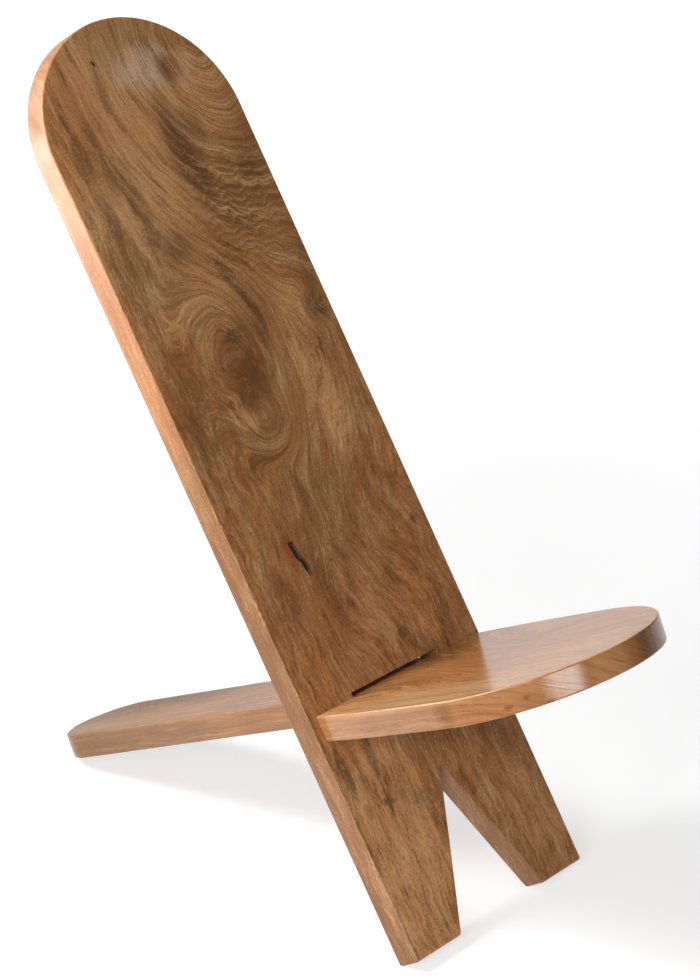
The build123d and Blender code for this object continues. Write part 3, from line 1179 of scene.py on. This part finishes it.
def studio_air(settings):
    """White to the eye. In the varnish it is dim in front of the chair and bright at the wall behind it."""
    world = bpy.data.worlds.new("studio")
    world.use_nodes = True
    tree = world.node_tree
    tree.nodes.clear()
    way = add_node(tree, "ShaderNodeTexCoord")["Generated"]
    behind = add_node(tree, "ShaderNodeSeparateXYZ", {"Vector": way})["Y"]
    shines = {"Value": behind, "From Min": WALL_SHINE_FADE[0], "From Max": WALL_SHINE_FADE[1]}
    shines.update({"To Min": settings.air_shine, "To Max": settings.wall_shine})
    shine = add_node(tree, "ShaderNodeMapRange", shines, interpolation_type="SMOOTHSTEP")[0]
    lights = {"Value": behind, "From Min": WALL_LIGHT_FADE[0], "From Max": WALL_LIGHT_FADE[1]}
    lights.update({"To Min": settings.air_light, "To Max": settings.wall_light})
    light = add_node(tree, "ShaderNodeMapRange", lights, interpolation_type="SMOOTHSTEP")[0]
    rays = add_node(tree, "ShaderNodeLightPath")
    levels = {0: rays["Is Glossy Ray"], 2: light, 3: shine}
    level = add_node(tree, "ShaderNodeMix", levels, data_type="FLOAT")[0]
    for ray in ("Is Camera Ray", "Is Transmission Ray"):
        level = add_node(tree, "ShaderNodeMath", {0: level, 1: rays[ray]}, operation="MAXIMUM")[0]
    air = add_node(tree, "ShaderNodeBackground", {"Color": (1, 1, 1, 1), "Strength": level})[0]
    add_node(tree, "ShaderNodeOutputWorld", {"Surface": air})
    return world


class CHAIR_OT_stage(Operator):
    """Sets the floor, the lamps and the camera"""

    bl_idname = "chair.stage"
    bl_label = "Stage"

    def execute(self, context):
        scene = context.scene
        settings = scene.chair.stage
        deselect()
        bpy.ops.mesh.primitive_plane_add(size=FLOOR_SIZE)
        floor = bpy.context.object
        floor.name = "floor"
        floor.data.materials.append(floor_paper(settings))
        scene.world = studio_air(settings)
        for name, place, width, height, power, lights in LAMPS:
            softbox(name, place, width, height, getattr(settings, power), lights)
        camera = bpy.data.objects.new("camera", bpy.data.cameras.new("camera"))
        camera.location = CAMERA_PLACE
        camera.rotation_euler = CAMERA_TURN
        camera.data.lens = CAMERA_LENS_MM
        camera.data.shift_x, camera.data.shift_y = CAMERA_SHIFT
        camera.data.dof.use_dof = False
        scene.collection.objects.link(camera)
        scene.camera = camera
        scene.view_settings.view_transform = "Standard"
        return {"FINISHED"}


# ---------------------------------------------------------------- panel and registration


OPERATORS = (CHAIR_OT_backrest, CHAIR_OT_seat, CHAIR_OT_finish, CHAIR_OT_stage)


class CHAIR_PT_panel(Panel):
    """Lists the chair's steps in the sidebar"""

    bl_idname = "CHAIR_PT_panel"
    bl_label = "Two-plank chair"
    bl_space_type = "VIEW_3D"
    bl_region_type = "UI"
    bl_category = "Chair"

    def draw(self, context):
        for operator in OPERATORS:
            self.layout.operator(operator.bl_idname)


CLASSES = (
    PlankSettings,
    BackrestSettings,
    SeatSettings,
    WoodSettings,
    StageSettings,
    ChairSettings,
    *OPERATORS,
    CHAIR_PT_panel,
)


def register():
    for entry in CLASSES:
        bpy.utils.register_class(entry)
    bpy.types.Scene.chair = PointerProperty(type=ChairSettings)


def unregister():
    del bpy.types.Scene.chair
    for entry in reversed(CLASSES):
        bpy.utils.unregister_class(entry)


def main():
    register()
    bpy.ops.chair.backrest()
    bpy.ops.chair.seat()
    bpy.ops.chair.finish()
    bpy.ops.chair.stage()


if __name__ == "__main__":
    main()
